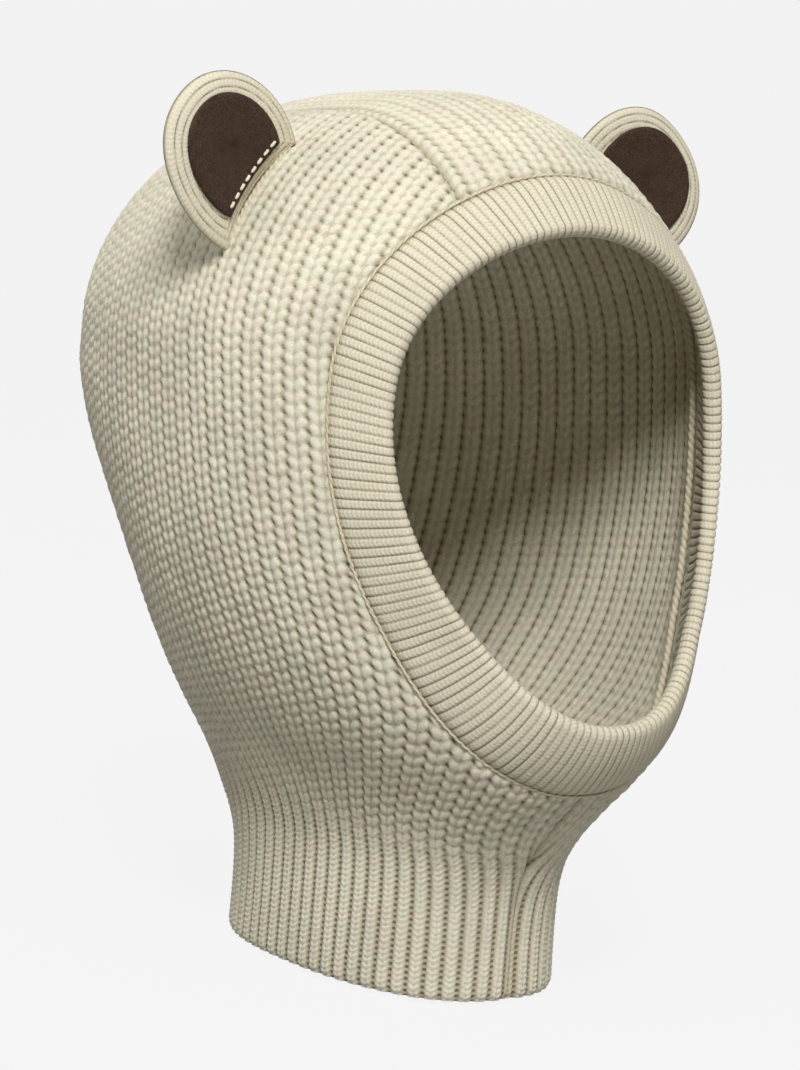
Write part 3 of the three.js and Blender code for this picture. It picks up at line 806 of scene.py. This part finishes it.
def makeFaceBand():
    turns = faceBand["turns"]
    turn = np.linspace(0, 2 * math.pi, turns, endpoint=False)
    depth = 2 * faceBand["wall"] + faceBand["slot"]
    wall = faceBand["wall"]
    fold = np.linspace(-math.pi / 2, math.pi / 2, faceBand["foldPoints"])[1:-1]
    width = faceBand["width"]
    slotFrom = faceBand["slotFrom"]
    reachOut = depth / 2 / width
    section = [(a, 0.0) for a in np.linspace(0, 1 - reachOut, faceBand["outerPoints"])]
    section += [(1 - reachOut + reachOut * math.cos(f), depth / 2 + depth / 2 * math.sin(f))
                for f in fold]
    section += [(a, depth)
                for a in np.linspace(1 - reachOut, faceBand["tuck"], faceBand["underPoints"])]
    outerCount = len(section)
    inFold = (depth / 2 - wall) / width
    section += [(faceBand["tuck"], depth - wall)]
    section += [(a, depth - wall) for a in np.linspace(slotFrom, 1 - reachOut - inFold, 4)]
    section += [(a, wall) for a in np.linspace(1 - reachOut - inFold, slotFrom, 4)]
    section += [(0.0, wall)]
    across = np.array([a for a, _ in section])
    down = np.array([d for _, d in section])
    surface = bandPoint(turn[:, None], across[None])
    normal = outward(surface)
    base = surface - normal * down[None, :, None]
    # run along the edge, measured on the middle of the band
    middle = base[:, 30]
    gaps = np.linalg.norm(np.roll(middle, -1, 0) - middle, axis=1)
    total = gaps.sum()
    ribs = round(total / faceBand["ribSpacing"])
    c = np.concatenate([[0], np.cumsum(gaps)[:-1]]) / total * ribs
    skin = base[:, :outerCount]
    around = arcLength(skin, 1)
    rowAt = around / faceBand["loop"]
    cc = c[:, None] + 0.04 * fleece(skin, 5.0)
    lift = ridges(cc, rowAt, 0.45)
    # outward of the strip's own face, which turns over at the fold
    ahead = np.roll(skin, -1, 0) - np.roll(skin, 1, 0)
    over = np.gradient(skin, axis=1)
    face = np.cross(ahead, over)
    face /= np.linalg.norm(face, axis=-1, keepdims=True)
    if np.sum(face[0, 5] * normal[0, 5]) < 0:
        face = -face
    seamEnd = pulledEdge(around + 0.01, 1.1, 1.4)
    rise = (lift - 0.8) * faceBand["ribDepth"] - seamEnd + 0.5 * unevenness(skin)
    swell = 0.5 * np.sin(np.pi * clamp01(around / around[:, -1:])) ** 2
    skin = skin + face * (rise + 0.3 * swell)[..., None]
    points = np.concatenate([skin, base[:, outerCount:]], 1)
    count = len(section)
    # painted shade: the rib height, darker at the linked seam; the hidden faces inside the fold take one
    # flat value near the middle colour
    shade = np.concatenate([lift * clamp01(1 - seamEnd * 0.4),
                            np.full((turns, count - outerCount), 0.4)], 1)
    i, j = np.meshgrid(np.arange(turns), np.arange(count), indexing="ij")
    k, l = (i + 1) % turns, (j + 1) % count
    faces = np.stack([i * count + j, k * count + j, k * count + l, i * count + l], -1).reshape(-1, 4)
    a, b, d = points[0, 5], points[1, 5], points[1, 6]
    if np.dot(np.cross(b - a, d - a), normal[0, 5]) < 0:
        faces = faces[:, ::-1]
    u = np.repeat(np.linspace(0, 1, turns)[:, None], count, 1)
    v = np.repeat(np.linspace(0, 1, count)[None], turns, 0)
    uv = np.stack([0.01 + 0.98 * u, 0.01 + 0.98 * v], -1).reshape(-1, 2)
    piece = makeObject("faceBandRib", points.reshape(-1, 3), faces, shade, uv)
    piece.data.materials.append(woolRib)
    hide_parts("face_band")
    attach(piece, "hood")


makeFaceBand()
print("face band knitted")

# Seams
seam = {"crownRadius": 1.9, "neckRadius": 1.3, "linkRadius": 1.0, "chainRadius": 0.42,
        "gap": 0.35, "crownSteps": 420, "neckSteps": 110, "linkSteps": 1300,
        "chainAt": -0.01, "chainDepth": 0.75, "allowanceAt": -0.1, "allowanceDepth": 0.8}


def makeCrownSeam(name, node, mirror):
    phi = np.linspace(hood["foreheadAngle"] - 0.25, napeAngle + 0.1, seam["crownSteps"])
    p = crownPoint(-mirror * crownHalf(phi), phi)
    n = outward(p)
    path = p - n * (hood["thickness"] + seam["crownRadius"] - 0.4)
    piece = joinCords(name, [yarnCord(name, path, seam["crownRadius"], 0.16, 3.2, 14)])
    piece.data.materials.append(seamYarn)
    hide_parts(node)
    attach(piece, "hood")


makeCrownSeam("crownSeamYarnRight", "crown_seam_right", 1)
makeCrownSeam("crownSeamYarnLeft", "crown_seam_left", -1)


def makeNeckSeam(name, node, angle):
    z = np.linspace(2, hood["neckHeight"] - 4, seam["neckSteps"])
    p = ringPoint(z, np.full_like(z, angle))
    path = p - outward(p) * (hood["thickness"] + seam["neckRadius"] - 0.2)
    piece = joinCords(name, [yarnCord(name, path, seam["neckRadius"], 0.2, 2.8, 12)])
    piece.data.materials.append(seamYarn)
    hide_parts(node)
    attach(piece, "hood")


makeNeckSeam("frontNeckSeamYarn", "front_neck_seam", math.pi)
makeNeckSeam("backNeckSeamYarn", "back_neck_seam", 0.0)


def makeLinking():
    # the chain that shows on the outside where the band is linked on, and its allowance inside
    turn = np.linspace(0, 2 * math.pi, seam["linkSteps"], endpoint=False)
    edge = bandPoint(turn, np.full_like(turn, seam["chainAt"]))
    chain = edge - outward(edge) * seam["chainDepth"]
    behind = bandPoint(turn, np.full_like(turn, seam["allowanceAt"]))
    depth = hood["thickness"] + seam["gap"] + seam["linkRadius"] + seam["allowanceDepth"]
    allowance = behind - outward(behind) * depth
    piece = joinCords("bandLinkingYarn", [
        yarnCord("chain", chain, seam["chainRadius"], 0.3, 2.6, 8, True),
        yarnCord("allowance", allowance, seam["linkRadius"], 0.15, 2.6, 10, True)])
    piece.data.materials.append(seamYarn)
    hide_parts("band_linking_seam")
    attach(piece, "hood")


makeLinking()
print("seams sewn")

# Ears
ear = {"up": (-0.84, -0.07, 0.49), "halfWidth": 24.0, "baseHalf": 20.0, "height": 36.5,
       "rim": 1.6, "swell": 2.0, "seamGap": 0.1, "cup": 3.2, "ribSpacing": 2.3, "loop": 1.5,
       "ribDepth": 0.42}
felt = {"halfWidth": 16.8, "baseHalf": 14.0, "height": 26.5, "baseAbove": 4.6, "thickness": 1.2,
        "flat": (0.0325, 0.0265), "area": 0.00075}
topstitch = {"radius": 0.42, "above": 1.9, "half": 12.6, "dash": 2.3, "pitch": 3.3}


def earFrame():
    joint = next(j for j in frame["joints"] if j["name"] == "ear_right_flop")
    along = -np.array(joint["axis"], float)
    along /= np.linalg.norm(along)
    up = np.array(ear["up"])
    up = up - along * np.dot(along, up)
    up /= np.linalg.norm(up)
    facing = -np.cross(along, up)
    return np.array(joint["pos_m"]) / mm, along, up, facing


earRoot, earAlong, earUp, earFacing = earFrame()


def bezier(a, b, c, d, t):
    t = t[:, None]
    return a * (1 - t) ** 3 + 3 * b * t * (1 - t) ** 2 + 3 * c * t * t * (1 - t) + d * t ** 3


def earOutline(halfWidth, baseHalf, height, base, count):
    low, top = base + height * 0.28, base + height
    t = np.linspace(0, 1, count)
    left = bezier(np.array([-baseHalf, base]), np.array([-halfWidth * 1.14, low]),
                  np.array([-halfWidth * 0.96, top]), np.array([0, top]), t)
    arch = np.concatenate([left, left[-2::-1] * [-1, 1]])
    floor = np.stack([np.linspace(baseHalf, -baseHalf, count)[1:-1], np.full(count - 2, base)], 1)
    return np.concatenate([arch, floor])


def onHood(x):
    # height above the hinge line at which the hood's surface lies, for a point x along the base
    at = lambda t: earRoot - earAlong * x[..., None] + earUp * t[..., None]
    return solve(lambda t: outside(at(t)), np.full(x.shape, -14.0), np.full(x.shape, 14.0))


def standEar(flat, mirror):
    # flat ear coordinates (along the base, up, forward) to the hood; the base follows the hood
    x, y, z = flat[..., 0], flat[..., 1], flat[..., 2]
    ground = onHood(np.clip(x, -24, 24))
    share = clamp01(1 - y / 14) ** 2
    y = y + (ground - 0.3) * share
    p = earRoot - earAlong * x[..., None] + earUp * y[..., None] + earFacing * z[..., None]
    return p * np.array([mirror, 1, 1])


def plate(outline, high, low, rings, swirl):
    # closed plate over an outline: high and low give its faces by share from the middle
    count = len(outline)
    centre = np.array([0.0, (outline[:, 1].min() + outline[:, 1].max()) / 2])
    share = np.linspace(0, 1, rings) ** 0.8
    q = centre + (outline[None] - centre) * share[:, None, None]
    cup = ear["cup"] * (q[..., 0] / ear["halfWidth"]) ** 2
    gap = np.linalg.norm(np.diff(outline, axis=0, append=outline[:1]), axis=1)
    run = np.concatenate([[0], np.cumsum(gap)[:-1]])[None]
    fromEdge = (1 - share[:, None]) * np.linalg.norm(outline - centre, axis=1)[None]
    lift, paintedShadeAndGrain = swirl(q, fromEdge, run)
    top = np.concatenate([q, (high(share[:, None] + 0 * run) + cup + lift)[..., None]], -1)
    bottom = np.concatenate([q, (low(share[:, None] + 0 * run) + cup)[..., None]], -1)
    faces = gridFaces(rings, count, True)
    rim = np.arange(count) + (rings - 1) * count
    after = np.roll(rim, -1)
    size = rings * count
    edge = np.stack([rim, rim + size, after + size, after], -1)
    faces = np.concatenate([faces, faces[:, ::-1] + size, edge])
    points = np.concatenate([top.reshape(-1, 3), bottom.reshape(-1, 3)])
    paintedShadeAndGrain = np.concatenate([paintedShadeAndGrain.ravel(), np.full(size, 0.5)])
    flatUv = (q - q.reshape(-1, 2).min(0)) / np.ptp(q.reshape(-1, 2), axis=0).max()
    uv = np.concatenate([flatUv.reshape(-1, 2) * [0.48, 0.98] + 0.01,
                         flatUv.reshape(-1, 2) * [0.48, 0.98] + [0.51, 0.01]])
    return points, faces, paintedShadeAndGrain, uv


def orient(points, faces):
    # turns the faces round if they enclose a negative volume
    a, b, c, d = (points[faces[:, i]] for i in range(4))
    volume = np.sum(a * np.cross(b, c)) + np.sum(a * np.cross(c, d))
    return faces[:, ::-1] if volume < 0 else faces


def ribSwirl(q, fromEdge, run):
    # wales that run round the ear inside its edge, in small stacked loops
    c = fromEdge / ear["ribSpacing"]
    r = run / ear["loop"] + 0 * c
    lift = ridges(c, r, 0.4)
    # the rib height also sets the painted shade, darker between the wales
    return (lift - 0.8) * ear["ribDepth"], lift


def feltSwirl(q, fromEdge, run):
    fromMiddle = 1 - fromEdge / fromEdge.max(0)
    grain = rng.normal(0, 1, fromEdge.shape) * clamp01(fromMiddle * 7)
    coarse = (np.sin(q[..., 0] * 2.1 + np.sin(q[..., 1] * 1.7)) + np.sin(q[..., 1] * 2.6)) / 2
    return 0.05 * grain + 0.06 * coarse, clamp01(0.45 + 0.22 * grain)


def makeEar(label, mirror):
    body = "ear_" + label.lower()
    upward = Vector([float(v) for v in earUp * np.array([mirror, 1, 1])])
    half = ear["seamGap"] / 2
    outline = earOutline(ear["halfWidth"], ear["baseHalf"], ear["height"], 0.0, 150)
    for side, hand in (("Back", -1), ("Front", 1)):
        def full(s, hand=hand):
            edge = np.sqrt(np.maximum(1 - s ** 9, 0))
            return half + ear["rim"] * edge + ear["swell"] * (1 - s ** 4)

        points, faces, paintedShadeAndGrain, uv = plate(outline, full, lambda s: half + 0 * s, 62, ribSwirl)
        points = points.copy()
        cup = ear["cup"] * (points[:, 0] / ear["halfWidth"]) ** 2
        if hand < 0:
            points[:, 2] = 2 * cup - points[:, 2]
        solid = standEar(points, mirror)
        name = f"ear{side}Knit{label}"
        piece = makeObject(name, solid, orient(solid, faces), paintedShadeAndGrain, uv)
        piece.data.materials.append(woolRib)
        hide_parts(f"ear_{side.lower()}_{label.lower()}")
        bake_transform(piece)
    level = half + ear["rim"] + ear["swell"] + 0.1
    felted = earOutline(felt["halfWidth"], felt["baseHalf"], felt["height"], felt["baseAbove"], 110)

    def feltTop(s):
        return level + felt["thickness"] * np.sqrt(np.maximum(1 - s ** 14, 0.05))

    points, faces, paintedShadeAndGrain, uv = plate(felted, feltTop, lambda s: level - 0.25 + 0 * s, 70, feltSwirl)
    solid = standEar(points, mirror)
    patch = makeObject(f"earFelt{label}", solid, orient(solid, faces), paintedShadeAndGrain, uv)
    patch.data.materials.append(brownFelt)
    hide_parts(f"ear_felt_{label.lower()}")
    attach(patch, body)
    dashes = []
    stitchLevel = level + felt["thickness"] + 0.1
    count = int(2 * topstitch["half"] / topstitch["pitch"]) + 1
    for i in range(count):
        x = (i - (count - 1) / 2) * topstitch["pitch"] + np.linspace(-0.5, 0.5, 9) * topstitch["dash"]
        cup = ear["cup"] * (x / ear["halfWidth"]) ** 2
        arch = -0.35 * (np.linspace(-1, 1, 9)) ** 4
        y = np.full(9, felt["baseAbove"] + topstitch["above"])
        path = standEar(np.stack([x, y, stitchLevel + cup + arch], 1), mirror)
        dashes.append(yarnCord("dash", path, topstitch["radius"], 0.12, 1.1, 8,
                               around=earFacing * np.array([mirror, 1, 1])))
    thread = joinCords(f"earTopstitchThread{label}", dashes)
    thread.data.materials.append(whiteThread)
    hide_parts(f"ear_topstitch_{label.lower()}")
    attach(thread, body)
    x = np.linspace(-ear["baseHalf"] + 2, ear["baseHalf"] - 2, 90)
    foot = earRoot - earAlong * x[:, None] + earUp * onHood(x)[:, None]
    ridgesOut = []
    for hand in (-1, 1):
        path = foot + earFacing * hand * 2.4 + outward(foot) * 0.1
        ridgesOut.append(yarnCord("root", path * np.array([mirror, 1, 1]), 0.75, 0.3, 2.4, 8,
                                  around=upward))
    root = joinCords(f"earRootYarn{label}", ridgesOut)
    root.data.materials.append(seamYarn)
    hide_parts(f"ear_root_seam_{label.lower()}")
    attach(root, "hood")


makeEar("Right", 1)
makeEar("Left", -1)
print("ears made")
